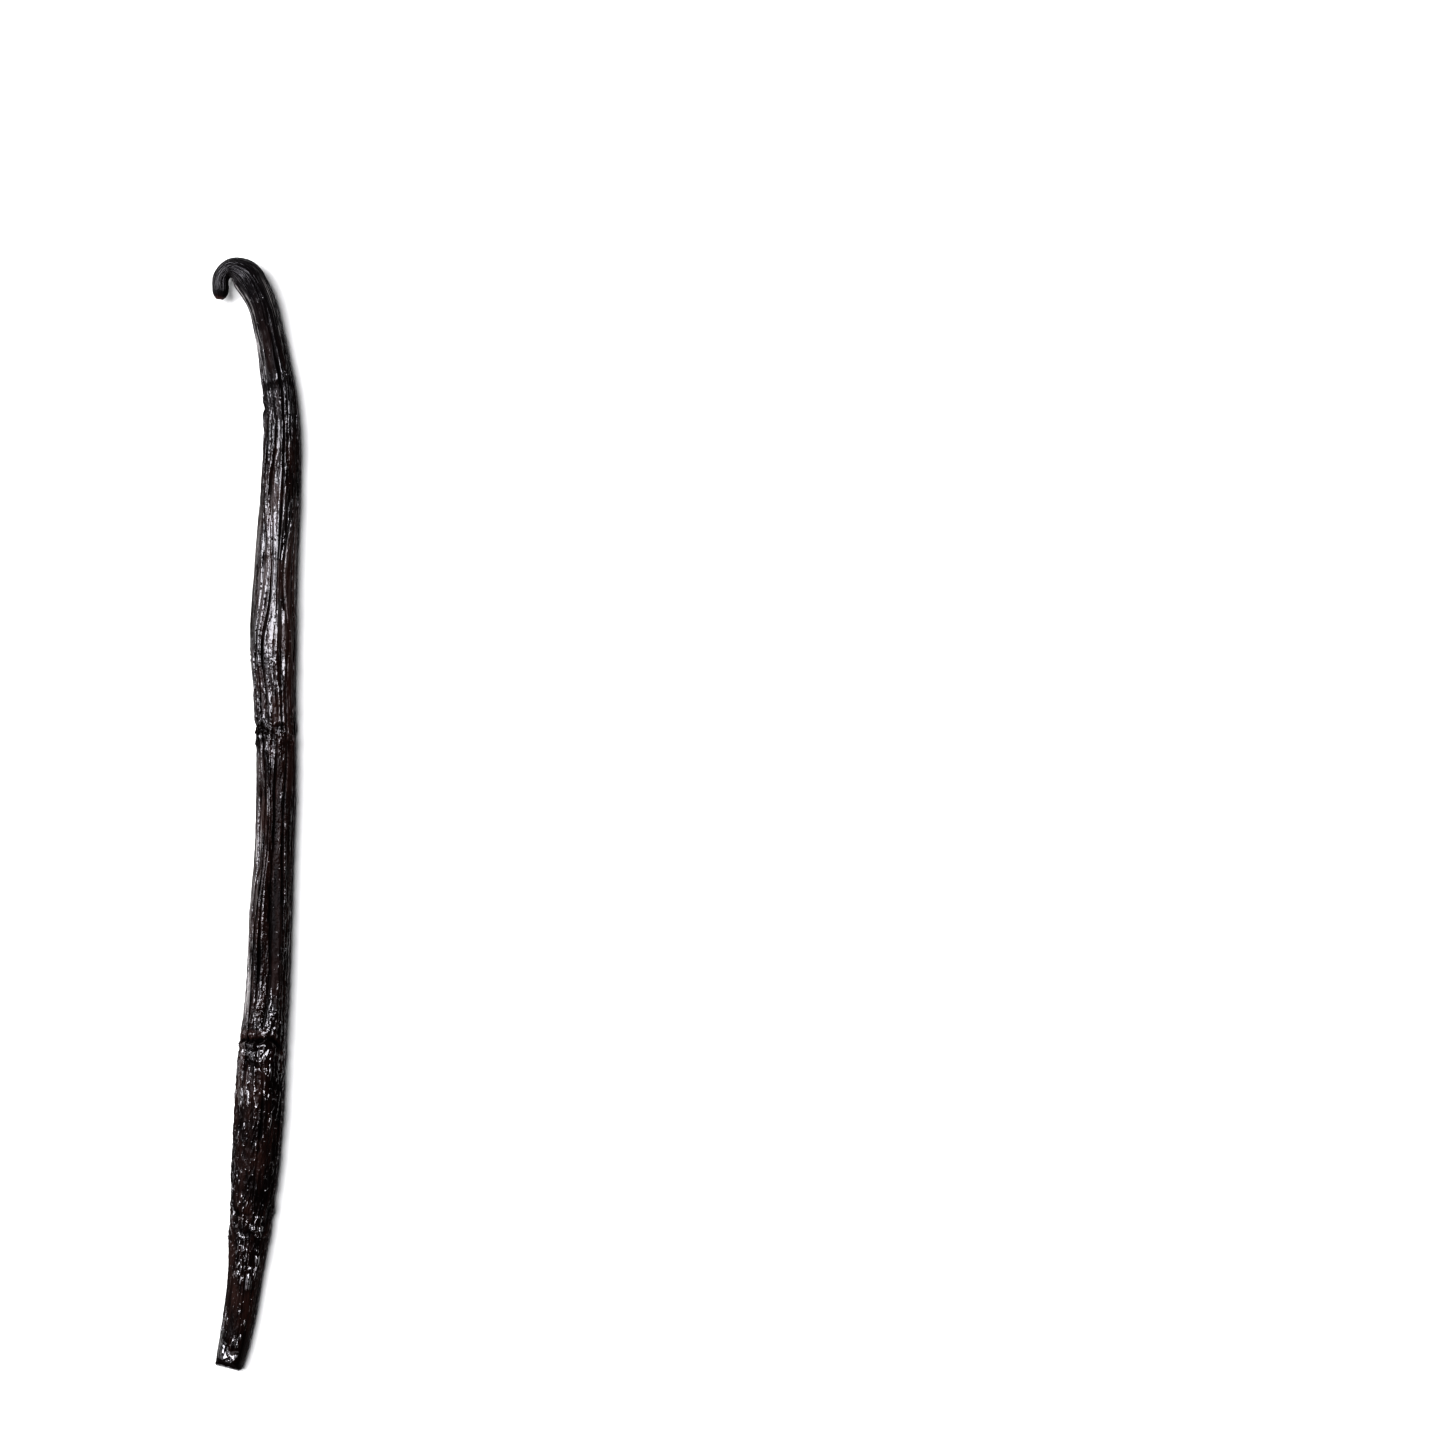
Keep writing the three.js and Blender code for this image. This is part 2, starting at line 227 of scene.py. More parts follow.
def apart(a, b):  # the angle between two directions round the pod
    d = np.mod(np.abs(a - b), fullTurn)
    return np.minimum(d, fullTurn - d)


def throughPoints(points, t):  # an even Catmull-Rom curve through the points, t from 0 to 1
    points = np.asarray(points, float)
    padded = np.vstack([2 * points[0] - points[1], points, 2 * points[-1] - points[-2]])
    place = np.clip(t, 0, 1) * (len(points) - 1)
    cell = np.minimum(np.floor(place).astype(int), len(points) - 2)
    f = (place - cell)[..., None]
    p0, p1, p2, p3 = (padded[cell + k] for k in range(4))
    t1, t2 = (p2 - p0) / 2, (p3 - p1) / 2
    return p1 + t1 * f + (3 * (p2 - p1) - 2 * t1 - t2) * f**2 + (2 * (p1 - p2) + t1 + t2) * f**3


class PodShape:
    # everything about the pod's form that depends on the distance along it and the angle round it
    def __init__(self, form):
        self.form = form
        self.columns = form["furrowCount"] * 2
        self.stations = np.array(form["stations"], float)
        steps = form["routeSteps"]
        self.parameters = np.linspace(0, 1, steps + 1)
        samples = throughPoints(self.stations[:, :2], self.parameters)
        parts = np.linalg.norm(np.diff(samples, axis=0), axis=1)
        self.lengths = np.concatenate([[0], np.cumsum(parts)])
        self.length = self.lengths[-1]

    def parameterAt(self, distance):
        return np.interp(distance, self.lengths, self.parameters)

    def tangentAt(self, t):
        step = 0.0001
        ahead = throughPoints(self.stations[:, :2], np.clip(t + step, 0, 1))
        behind = throughPoints(self.stations[:, :2], np.clip(t - step, 0, 1))
        along = ahead - behind
        return along / np.linalg.norm(along, axis=-1, keepdims=True)

    def columnAngle(self, distance, column):
        form = self.form
        low = np.floor(column)
        drift = mix(hashed(np.mod(low, self.columns), randomRow["drift"]),
                    hashed(np.mod(low + 1, self.columns), randomRow["drift"]), column - low)
        even = fullTurn * (column + (drift - 0.5) * form["furrowDrift"]) / self.columns
        slow = distance / form["meanderRun"]
        wander = (np.sin(even * 2 + fullTurn * run(randomRow["meanderTwo"], slow))
                  + np.sin(even * 3 + fullTurn * run(randomRow["meanderThree"], slow)))
        return even + form["meander"] * wander

    def lineOffset(self, distance, column):  # of a furrow on an even column, a ridge on an odd one
        form = self.form
        column = np.mod(column, self.columns)
        line = np.floor(column / 2)
        along = distance / form["furrowRun"]
        share = np.where(np.mod(line, 2) < 0.5, 1, form["minorShare"])
        least = form["furrowLeast"]
        furrow = -share * (least + (1 - least) * run(line, along) ** 2)
        ridge = form["ridgeHeight"] * run(line + randomRow["ridge"], along) - form["ridgeSink"]
        return form["furrowDepth"] * np.where(np.mod(column, 2) < 0.5, furrow, ridge)

    def furrowOffset(self, distance, column):
        low = np.floor(column)
        f = column - low
        rising = np.mod(low, 2) < 0.5
        rounded = np.where(rising, np.sin(f * math.pi / 2), 1 - np.sin((1 - f) * math.pi / 2))
        return mix(self.lineOffset(distance, low), self.lineOffset(distance, low + 1), rounded)

    def bulgeOffset(self, distance, angle):
        form = self.form
        along = distance / form["bulgeRun"]
        three = np.cos(3 * angle + fullTurn * run(randomRow["bulge"], along))
        two = np.cos(2 * angle + fullTurn * run(randomRow["oval"], along))
        return form["bulge"] * (three + form["ovalShare"] * two)

    def creaseOffset(self, distance, angle):
        form = self.form
        offset = 0
        for at, middle, reach, depth, half, _ in form["creases"]:
            away = np.abs(distance - at) / half
            window = fadeOut(apart(angle, math.radians(middle)) / math.radians(reach / 2))
            around = form["creaseDents"]
            comes = dents(angle / fullTurn * around, at + around / 2, around)
            window = window * (1 - form["creaseUneven"] + form["creaseUneven"] * comes)
            valley = np.maximum(0, 1 - away) ** form["creaseSteep"]
            lip = form["creaseLip"] * np.exp(-((away - form["lipPlace"]) ** 2) / form["lipSpread"])
            offset = offset + depth * window * (lip - valley)
        return offset

    def crumpleOffset(self, distance, angle):
        form = self.form
        offset = 0
        for start, end, depth in form["crumples"]:
            fade = form["crumpleFade"]
            window = smooth((distance - start) / fade) * smooth((end - distance) / fade)
            around = angle / fullTurn * form["crumpleRound"]
            offset = offset + depth * window * dents(around, distance / form["crumplePitch"],
                                                     form["crumpleRound"])
        return offset

    def keelOffset(self, distance, angle):
        offset = 0
        for at, half, middle, spread, height in self.form["keels"]:
            side = apart(angle, math.radians(middle)) / math.radians(spread)
            offset = offset + height * fadeOut(np.abs(distance - at) / half) * np.exp(-side * side)
        return offset

    def slantShift(self, distance, angle):  # how far the creases lean along the pod
        form = self.form
        shift = 0
        for at, middle, _, _, _, slant in form["creases"]:
            near = (distance - at) / form["slantRun"]
            jag = form["jag"] * dents(angle / fullTurn * form["jagDents"], at, form["jagDents"])
            shift = shift + np.exp(-near * near) * (slant * np.sin(angle - math.radians(middle)) + jag)
        return shift

    def rimScale(self, distance):
        form = self.form
        blossom = np.interp(distance, *zip(*form["blossomRim"]))
        stalk = np.interp(self.length - distance, *zip(*form["stalkRim"]))
        return blossom * stalk

    def markOffset(self, marks, distance, angle):  # short folds and grooves that are placed one by one
        form = self.form
        offset = 0
        for at, middle, half, width, turn, height in marks:
            along = distance - at
            aside = np.mod(angle - math.radians(middle) + math.pi, fullTurn) - math.pi
            aside = aside * form["meanRadius"]
            c, s = math.cos(math.radians(turn)), math.sin(math.radians(turn))
            across = np.abs(aside * c - along * s) / width
            window = fadeOut(np.abs(along * c + aside * s) / half)
            bank = form["bankShare"] * np.exp(-((across - form["bankPlace"]) ** 2)) if height < 0 else 0
            offset = offset + height * window * (np.exp(-across * across) - bank)
        return offset

    def foldShare(self, distance, angle):  # how crumpled the skin is beside the creases
        form = self.form
        share = 0
        for at, middle, reach, depth, _, _ in form["creases"]:
            near = (distance - at) / form["foldRun"]
            aside = apart(angle, math.radians(middle)) / math.radians(reach / 2)
            window = fadeOut(aside, form["foldEdge"])
            share = share + abs(depth) * form["foldGain"] * window * np.exp(-near * near)
        return np.minimum(share, 1)

    # points of the skin, and what its finish needs to know about each one
    def skin(self, distance, column, scale, setIn, marks):
        form = self.form
        angle = self.columnAngle(distance, column)
        place = np.clip(distance + self.slantShift(distance, angle), 0, self.length)
        nearEnd = smooth(np.minimum(distance, self.length - distance) / form["endFade"])
        t = self.parameterAt(mix(distance, place, nearEnd))
        centre = throughPoints(self.stations[:, :2], t)
        forward = self.tangentAt(t)
        wide, tall, lift, rough = np.moveaxis(throughPoints(self.stations[:, 2:], t), -1, 0)
        halfWide = wide / 2 * scale
        halfTall = tall / 2 * scale
        nx, nz = np.cos(angle) / halfWide, np.sin(angle) / halfTall
        size = np.hypot(nx, nz)
        nx, nz = nx / size, nz / size
        furrow = self.furrowOffset(distance, column) * rough * nearEnd
        fold = (self.crumpleOffset(distance, angle) + self.creaseOffset(distance, angle)) * nearEnd
        shape = (self.bulgeOffset(distance, angle) + self.keelOffset(distance, angle)) * rough
        offset = (furrow + fold + shape) * scale
        across = halfWide * np.cos(angle) + nx * offset
        up = halfTall * np.sin(angle) + nz * offset
        even = 1  # 0 where the relief is pressed out
        for pressed, depths in form["presses"]:
            c, s = math.cos(math.radians(pressed)), math.sin(math.radians(pressed))
            limit = np.hypot(halfWide * c, halfTall * s) - np.interp(distance, *zip(*depths))
            over = np.maximum(across * c + up * s - limit, 0)
            across = across - over * c
            up = up - over * s
            even = even * (1 - smooth(over / form["pressFade"]))
        mark = self.markOffset(marks, distance, angle)
        across = across + nx * mark * scale
        up = up + nz * mark * scale
        x = centre[..., 0] + forward[..., 1] * across + forward[..., 0] * setIn
        y = centre[..., 1] - forward[..., 0] * across + forward[..., 1] * setIn
        z = np.maximum(lift + tall / 2 - form["settle"] + up, 0)
        points = np.stack([x, y, z], axis=-1)
        wideRadius, tallRadius = form["straightRadii"]
        straight = np.stack([wideRadius * np.cos(angle) * scale, distance + 0 * angle,
                             tallRadius * np.sin(angle) * scale], axis=-1)
        relief = (furrow + fold) * even + mark
        return points, straight, relief, rough + 0 * angle, self.foldShare(distance, angle)


pod = PodShape(podForm)
print("pod length", round(pod.length, 1))

podMesh = {
    "rings": 540,
    # columns to a furrow: from which furrow on, and how many
    "columnsPerFurrow": [(0, 8), (14, 6), (17, 4), (25, 6), (28, 8)],
    "bendWeight": 1.6,       # how much closer the rings stand where the pod bends
    # how close they stand along it: distance from the blossom end, weight there
    "ringWeight": [(0, 6), (1, 6), (1.5, 2), (8, 2), (12, 1), (18, 1.4), (30, 1.4), (44, 1.5),
                   (54, 1.5), (60, 0.8), (95, 0.8), (98, 1.6), (104, 1.6), (110, 0.9), (182, 0.8)],
    "ringSamples": 4001,
    "capRings": 6,
    # short folds, and grooves where the height is below 0:
    # distance, angle, half length, width, turn, height
    "marks": [
        (102.5, 97, 0.6, 0.14, 40, 0.24), (103, 120, 0.6, 0.18, 45, 0.2),
        (102, 110, 0.35, 0.13, 30, 0.18), (101.8, 125, 1.2, 0.22, 68, -0.34),
        (102.4, 125, 1.1, 0.2, 48, -0.3), (101.3, 78, 0.45, 0.16, -50, 0.14),
        (103.6, 66, 2.4, 0.12, 0, -0.2), (52.5, 84, 0.5, 0.17, -59, 0.24),
        (53.2, 91, 0.3, 0.25, 0, 0.2), (49.2, 84, 0.9, 0.15, -35, 0.22),
        (48.4, 84, 0.9, 0.15, -20, 0.18), (50.5, 134, 0.4, 0.35, 0, 0.16),
        (50.6, 86, 0.45, 0.35, 0, 0.16), (50.3, 108, 0.5, 0.15, 0, 0.14),
        (49.5, 134, 0.35, 0.3, 0, 0.14), (49.4, 90, 0.35, 0.3, -20, 0.14),
        (1.7, 100, 0.9, 0.12, -53, -0.14), (1.6, 139, 0.3, 0.18, 0, -0.16),
        (1.5, 80, 0.5, 0.12, 60, -0.1), (5, 83, 0.8, 0.2, 8, 0.3), (4.6, 93, 0.7, 0.16, -14, 0.22),
        (4.2, 74, 0.5, 0.26, 0, 0.3), (5.6, 66, 0.5, 0.12, 0, 0.2), (2.6, 64, 0.6, 0.12, -25, 0.22),
        (7.4, 128, 0.8, 0.12, 5, 0.2), (2.4, 96, 1.2, 0.12, 48, -0.16),
        (0.3, 105, 2.6, 0.12, 88, 0.2), (0.75, 100, 1.2, 0.1, 76, -0.1),
        (6.4, 150, 1.1, 0.14, 8, 0.22), (8.6, 143, 1.3, 0.12, 5, 0.2), (5, 160, 0.8, 0.12, 12, 0.2),
        (7.8, 62, 0.7, 0.12, -6, 0.2), (10, 52, 0.5, 0.14, 0, 0.2), (9.4, 84, 0.4, 0.2, 0, 0.16),
        (168.2, 96, 0.9, 0.15, -63, 0.15), (167.9, 67, 1.4, 0.13, 28, 0.15),
        (166, 108, 1.05, 0.14, 5, 0.1), (164.6, 104, 0.75, 0.14, -20, 0.08),
        (160.3, 96, 1.2, 0.14, 25, 0.1), (159.2, 88, 0.9, 0.14, -15, 0.09),
        (157.8, 93, 0.75, 0.14, 30, 0.08), (156.5, 85, 0.75, 0.14, -30, 0.08),
        (155.6, 98, 0.75, 0.14, 20, 0.08), (161.8, 120, 3.2, 0.12, 6, -0.22),
        (164, 84, 3, 0.12, 10, -0.18), (157, 76, 2.4, 0.12, -4, -0.18),
        (112.6, 155, 0.9, 0.22, 15, 0.22), (112, 128, 0.6, 0.2, -15, 0.18),
        (113, 140, 0.9, 0.18, -20, -0.22), (24.8, 104, 0.54, 0.22, 34, 0.18),
        (24.5, 105, 0.66, 0.19, -3, 0.15), (24.2, 93, 0.58, 0.19, -20, 0.18),
        (25.1, 61, 0.79, 0.25, 32, 0.3), (23.1, 65, 0.86, 0.35, 52, 0.38),
        (23.3, 51, 0.56, 0.22, -40, 0.3), (23.7, 82, 0.76, 0.29, 5, 0.11),
        (22.1, 64, 0.47, 0.19, 30, 0.24), (22.4, 53, 0.58, 0.19, 28, 0.24),
        (25.6, 150, 0.88, 0.19, 59, 0.28), (23.7, 125, 0.49, 0.19, -48, 0.25),
        (21.9, 103, 0.6, 0.19, 34, 0.18), (19.7, 95, 0.78, 0.2, 34, 0.22),
        (19.1, 120, 0.35, 0.22, -75, 0.25), (19.3, 57, 0.55, 0.19, 60, 0.3),
        (17.8, 50, 0.79, 0.31, 5, 0.34), (16.7, 49, 0.77, 0.2, -7, 0.24),
        (15.7, 53, 0.75, 0.22, -6, 0.3), (14.8, 55, 0.56, 0.19, -3, 0.24),
        (18.2, 86, 0.71, 0.19, -6, 0.15), (16.8, 110, 0.43, 0.22, 12, 0.25),
        (16.2, 99, 0.47, 0.19, 27, 0.18), (16.2, 69, 0.68, 0.25, -9, 0.19),
        (14.7, 71, 0.88, 0.29, 1, 0.3), (13.5, 71, 0.86, 0.25, 7, 0.3),
        (15.3, 109, 0.69, 0.25, 34, 0.28), (15, 124, 0.39, 0.2, 52, 0.25),
        (14.5, 95, 0.31, 0.19, 27, 0.18), (14, 94, 0.31, 0.19, 28, 0.18),
        (50.5, 108, 0.71, 0.15, -5, 0.22), (49.7, 82, 0.76, 0.19, -41, 0.22),
        (49.7, 68, 1.2, 0.15, -9, 0.24), (48.4, 76, 0.82, 0.18, -22, 0.24),
        (47.8, 63, 1.1, 0.12, 1, 0.23), (46.3, 62, 1.1, 0.12, -0, 0.19),
        (47.5, 136, 0.71, 0.12, 54, 0.19), (46, 144, 0.72, 0.12, -56, 0.23),
        (44.6, 149, 1.1, 0.12, 6, 0.19), (42.8, 145, 1.4, 0.12, 4, 0.16),
        (46.7, 99, 0.43, 0.12, -17, 0.16), (45.9, 112, 0.31, 0.12, -28, 0.16),
        (45, 74, 0.69, 0.12, -4, 0.14), (43.8, 77, 0.4, 0.12, 16, 0.19),
        (43.2, 134, 0.87, 0.12, 5, 0.16), (43.5, 126, 0.79, 0.12, -12, 0.16),
        (42.7, 114, 1.2, 0.12, 3, 0.16), (41.7, 133, 1.2, 0.12, -14, 0.16),
        (41.3, 51, 0.85, 0.12, -19, 0.23), (39.7, 56, 1.4, 0.12, -1, 0.19),
        (40.7, 36, 1.1, 0.12, -6, 0.23), (32.3, 35, 1.2, 0.12, 6, 0.23),
        (35.5, 86, 0.85, 0.12, 9, 0.12), (31.2, 56, 0.43, 0.12, -7, 0.16),
        (35.6, 118, 0.31, 0.12, 90, 0.12),
    ],
    # long smooth bands where the film lies whole: distance, half length, angle, half width, share
    "satinBands": [
        (147.2, 3.4, 94, 4, 0.6), (140.4, 2.8, 83, 8, 0.8), (134.7, 4.8, 107, 7, 1),
        (132.8, 2.6, 94, 6, 0.9), (129.4, 2.2, 79, 14, 1), (130, 2.4, 123, 8, 0.7),
        (124.9, 3, 89, 8, 1), (123.7, 2.8, 121, 12, 1), (119.6, 2.4, 86, 5, 0.9),
        (119.5, 2.4, 59, 4, 0.7), (117.2, 2, 86, 8, 0.7), (111.3, 2, 55, 5, 0.8),
        (105.8, 2.4, 100, 9, 0.9), (105, 2.4, 124, 8, 0.8), (99.3, 1.8, 133, 8, 0.9),
        (99.3, 1.6, 114, 5, 0.8), (97.6, 3.4, 97, 7, 0.9), (89.6, 3.4, 107, 7, 1),
        (78.4, 5.8, 109, 8, 0.7), (1.9, 0.9, 112, 50, 1), (3, 1.3, 130, 34, 1),
        (5.4, 3.4, 152, 16, 0.9), (4.8, 1, 80, 12, 0.8), (50.4, 0.9, 136, 14, 1),
        (50.4, 0.9, 82, 16, 1), (49.2, 0.6, 136, 12, 0.8), (49.3, 0.6, 86, 14, 0.8),
        (78, 26, 164, 20, 0.5), (166, 9, 166, 26, 0.4),
    ],
    # pale streaks of painted sheen, mostly on the left flank that faces the lamps
    "paleSheenBands": [
        (166, 11, 150, 26, 0.9), (166, 6, 38, 12, 0.8), (70, 20, 158, 24, 0.9),
        (90, 10, 155, 26, 0.15), (130, 10, 160, 22, 0.25), (127, 15, 95, 70, 0.09),
    ],
    # ash-grey places
    "ashBands": [(69, 17, 66, 18, 0.35)],
    # where there is hardly any film
    "bareBands": [(69, 17, 68, 16, 1), (163, 10, 98, 30, 0.9), (127, 15, 168, 16, 0.7)],
    # dull red-brown places
    "dullBands": [
        (166.4, 4.5, 108, 18, 0.6), (160, 4.5, 103, 20, 0.6), (137.5, 2.2, 96, 7, 0.8),
        (124.5, 4, 66, 13, 0.9), (104.6, 2.4, 80, 13, 0.9), (87.5, 3.2, 130, 18, 0.8),
        (52.3, 1.2, 122, 50, 0.8), (112, 26, 35, 22, 0.8), (70, 14, 60, 14, 0.3),
        (38, 9, 120, 70, 0.2),
    ],
    # what the bands and the short folds do: film added or taken, relief, grain and gloss taken
    "satinGain": 0.95,
    "satinCalm": 0.55,
    "satinGrain": 0.65,
    "dullLoss": 0.35,
    "bareLoss": 0.4,
    "bareMatt": 0.85,
    "bareCalm": 0.7,
    "markGain": 0.9,
    "markCalm": 0.6,
    "markSmooth": 0.7,
    "markFull": 0.1,         # height from which a fold counts in full
    # The tables give the distance from the blossom end and the value there.
    # how glossy the skin is between the spots of film
    "thin": [(0, 1), (0.25, 1), (0.45, 0.06), (9, 0.03), (44, 0.05), (52, 0.1), (58, 0.16),
             (76, 0.16), (100, 0.16), (114, 0.28), (134, 0.28), (140, 0.14), (152, 0.12),
             (164, 0.25), (170, 0.4), (182, 0.5)],
    # how far the film spreads
    "spread": [(0, 0.05), (12, 0.05), (16, 0.15), (26, 0.2), (30, 0.2), (38, 0.25), (48, 0.5),
               (53, 0.45), (58, 0.42), (72, 0.38), (80, 0.22), (95, 0.21), (106, 0.38), (112, 0.42),
               (134, 0.42), (140, 0.28), (152, 0.34), (160, 0.34), (170, 0.2), (182, 0.2)],
    # how many small shining pimples there are
    "speck": [(0, 0.1), (8, 0.3), (14, 0.6), (30, 0.7), (48, 0.6), (56, 0.4), (80, 0.3), (112, 0.3),
              (140, 0.3), (152, 0.2), (165, 0.1), (182, 0)],
    # depth of the fine grain, in millimetres
    "grain": [(0, 0.02), (6, 0.03), (12, 0.05), (40, 0.06), (56, 0.14), (76, 0.13), (100, 0.12),
              (105, 0.08), (118, 0.08), (124, 0.1), (138, 0.11), (148, 0.13), (156, 0.05),
              (182, 0.04)],
    # how strong the film's gloss is
    "wet": [(0, 1), (0.25, 1), (0.45, 0.1), (1.1, 0.1), (1.35, 1), (40, 1), (50, 0.85), (60, 0.64),
            (76, 0.62), (86, 0.57), (98, 0.56), (108, 0.71), (136, 0.71), (144, 0.56), (166, 0.58),
            (172, 0.4), (182, 0.4)],
    # how deep the fine strands are, and the cords, crinkles and folds
    "strand": [(0, 0.15), (3, 0.3), (12, 0.5), (30, 0.6), (50, 0.7), (60, 1.5), (80, 1.4), (112, 1),
               (118, 0.95), (134, 0.95), (140, 1.7), (160, 1.8), (168, 2.2), (182, 2.2)],
    "cord": [(0, 0.15), (3, 0.4), (8, 1), (55, 1), (60, 0.6), (80, 0.6), (90, 1), (182, 1)],
    "crinkle": [(0, 0.08), (5, 0.12), (15, 0.3), (22, 0.6), (50, 0.6), (56, 0.7), (80, 0.45),
                (100, 0.4), (104, 0.15), (122, 0.15), (160, 0.2), (175, 0.1), (200, 0.05)],
    "fold": [(0, 0), (5, 0.1), (14, 0.2), (20, 0.9), (34, 0.8), (44, 0.7), (52, 0.8), (58, 0.4),
             (76, 0.2), (96, 0.2), (104, 0.3), (116, 0.1), (160, 0.1), (175, 0), (182, 0)],
    # how brown and how ash-grey the skin is
    "brown": [(0, -0.6), (0.9, -0.4), (1.8, 0.1), (10, 0.15), (16, 0.12), (30, 0.1), (50, 0.1),
              (60, 0.12), (100, 0.2), (130, 0.1), (150, 0.1), (158, 0), (170, -0.2), (182, -0.2)],
    "ash": [(0, 0), (142, 0), (150, 0.4), (160, 0.5), (168, 0.75), (182, 0.9)],
    # how far the painted shade in the furrows is lifted back towards the skin's colour
    "furrowShadeLift": [(0, 0), (56, 0), (76, 0.4), (130, 0.5), (146, 0.6), (152, 0.8), (168, 0.7),
             (182, 0.6)],
    "scarReach": 0.5,        # how far the red-brown scar comes up from the stalk tip
    "scarFade": 0.35,
}


def ringDistances(shape, s):
    even = np.linspace(0, shape.length, s["ringSamples"])
    wanted = np.interp(even, *zip(*s["ringWeight"]))[:-1]
    tangents = shape.tangentAt(shape.parameterAt(even))
    turn = np.linalg.norm(np.diff(tangents, axis=0), axis=1) / np.diff(even)
    weight = np.concatenate([[0], np.cumsum((wanted + s["bendWeight"] * turn) * np.diff(even))])
    return np.interp(np.linspace(0, weight[-1], s["rings"]), weight, even)


def bandShare(bands, distance, angle):  # how much of a band there is at each point
    share = 0
    for at, half, middle, spread, amount in bands:
        side = apart(angle, math.radians(middle)) / math.radians(spread)
        share = share + amount * fadeOut(np.abs(distance - at) / half) * np.exp(-side ** 4)
    return np.clip(share, 0, 1)


# what the relief and the finish read at each point
def skinValues(shape, s, distance, column, rough, relief, folded):
    angle = shape.columnAngle(distance, column)
    tables = ("thin", "spread", "speck", "grain", "wet", "strand", "cord", "crinkle", "fold",
              "brown", "ash", "furrowShadeLift")
    table = {name: np.interp(distance, *zip(*s[name])) for name in tables}
    satin, bare, paleSheen, ashen, dull = (bandShare(s[name + "Bands"], distance, angle)
                                      for name in ("satin", "bare", "paleSheen", "ash", "dull"))
    dull = dull * (1 - satin)
    marked = np.clip(shape.markOffset(s["marks"], distance, angle) / s["markFull"], 0, 1)
    calm = (1 - s["satinCalm"] * satin) * (1 - s["markCalm"] * marked)
    bareCalm = 1 - s["bareCalm"] * bare
    spread = table["spread"] + s["satinGain"] * satin - s["dullLoss"] * dull - s["bareLoss"] * bare
    grain = table["grain"] * (1 - s["satinGrain"] * satin) * (1 - s["markSmooth"] * marked)
    return {
        "furrow": relief,
        "rough": rough * table["cord"] * calm,
        "strand": table["strand"] * calm,
        "crinkle": table["crinkle"] * calm * bareCalm,
        "fold": mix(table["fold"], 1, folded) * calm,
        "spread": spread + s["markGain"] * marked * (1 - s["bareLoss"] * bare),
        "thin": table["thin"] * (1 - s["bareMatt"] * bare),
        "wet": table["wet"],
        "speck": table["speck"],
        "grain": grain * bareCalm,
        "brown": table["brown"] + dull,
        "ash": np.maximum(table["ash"], ashen),
        # where the painted sheen lies
        "paleSheen": paleSheen,
        # how far the painted shade in the furrows is lifted
        "furrowShadeLift": table["furrowShadeLift"],
        "scar": smooth((distance - shape.length + s["scarReach"]) / s["scarFade"]),
    }


def makePodBase(shape, s):
    form = shape.form
    body = ringDistances(shape, s)
    scales = shape.rimScale(body)
    shrink = np.linspace(0, 1, s["capRings"] + 1)[1:-1]  # the rings of the two ends
    inside = smooth(1 - shrink)
    distance = np.concatenate([0 * shrink, body, 0 * shrink + shape.length])[:, None]
    scale = np.concatenate([shrink * scales[0], scales, (shrink * scales[-1])[::-1]])[:, None]
    dished = [form["blossomDish"] * inside, 0 * body, -form["stalkDish"] * inside[::-1]]
    setIn = np.concatenate(dished)[:, None]
    starts, counts = zip(*s["columnsPerFurrow"])
    steps = np.repeat(counts[:-1], np.diff(starts))
    column = [2 * furrow + np.arange(count) * 2 / count for furrow, count in enumerate(steps)]
    column = np.concatenate(column)[None, :]
    points, straight, relief, rough, folded = shape.skin(distance, column, scale, setIn, s["marks"])
    rings, columns = rough.shape
    poles = rings * columns
    ends = [points[0].mean(axis=0), points[-1].mean(axis=0)]
    vertices = np.concatenate([points.reshape(-1, 3), ends]) * mm
    index = np.arange(poles).reshape(rings, columns)
    following = np.roll(index, -1, axis=1)
    quads = np.stack([index[1:], following[1:], following[:-1], index[:-1]], axis=-1).reshape(-1, 4)
    blossomFan = [(poles, int(a), int(b)) for a, b in zip(index[0], following[0])]
    stalkFan = [(poles + 1, int(b), int(a)) for a, b in zip(index[-1], following[-1])]
    mesh = bpy.data.meshes.new("podBase")
    mesh.from_pydata(vertices.tolist(), [], quads.tolist() + blossomFan + stalkFan)
    mesh.polygons.foreach_set("use_smooth", np.ones(len(mesh.polygons), bool))

    def keep(name, grid, kind="FLOAT", key="value"):  # the poles get the mean of their ring
        grid = np.asarray(grid, float).reshape(rings, columns, -1)
        ends = [grid[0].mean(axis=0), grid[-1].mean(axis=0)]
        values = np.concatenate([grid.reshape(poles, -1), ends])
        attribute = mesh.attributes.new(name, kind, "POINT")
        attribute.data.foreach_set(key, values.astype(np.float32).ravel())

    keep("straight", straight * mm, "FLOAT_VECTOR", "vector")
    values = skinValues(shape, s, distance + 0 * rough, column, rough, relief, folded)
    for name, grid in values.items():
        keep(name, grid)
    return mesh


